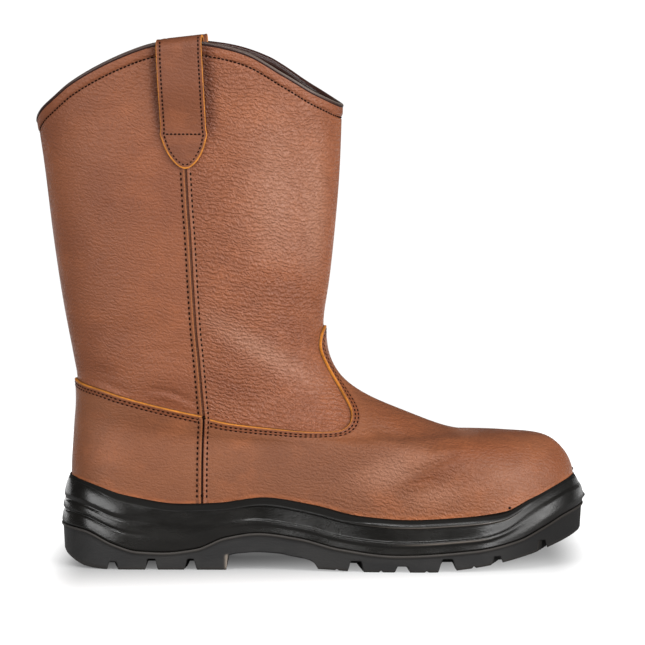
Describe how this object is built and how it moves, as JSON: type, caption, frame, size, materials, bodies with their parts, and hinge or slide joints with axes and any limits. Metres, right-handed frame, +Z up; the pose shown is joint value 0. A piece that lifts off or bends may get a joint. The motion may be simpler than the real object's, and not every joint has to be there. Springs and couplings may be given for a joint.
{
  "type": "rigger boot",
  "caption": "Pull-on rigger boot for the right foot: tan leather shaft with vamp and counter overlays, curved collar with pull loops, cupped black sole with lugged tread.",
  "frame": {"origin": "centre of the boot's plan box, on the floor", "axes": "+X towards the toe, +Y towards the inner (medial) side, +Z up the shaft"},
  "size_m": [0.3188, 0.1074, 0.3084],
  "materials": {
    "tan_leather": "pebbled, satin",
    "overlay_leather": "pebbled, satin",
    "strap_leather": "pebbled, satin",
    "dark_binding": "ribbed",
    "midsole_rubber": "satin",
    "outsole_rubber": "matte",
    "insole_fabric": "matte"
  },
  "bodies": {
    "root": {"upper": "tan_leather", "vamp": "overlay_leather", "counter": "overlay_leather", "side_seam_lateral": "overlay_leather", "side_seam_medial": "overlay_leather", "collar_binding": "dark_binding", "pull_loop_lateral": "strap_leather", "pull_loop_medial": "strap_leather", "midsole": "midsole_rubber", "outsole": "outsole_rubber", "insole": "insole_fabric"}
  },
  "joints": []
}
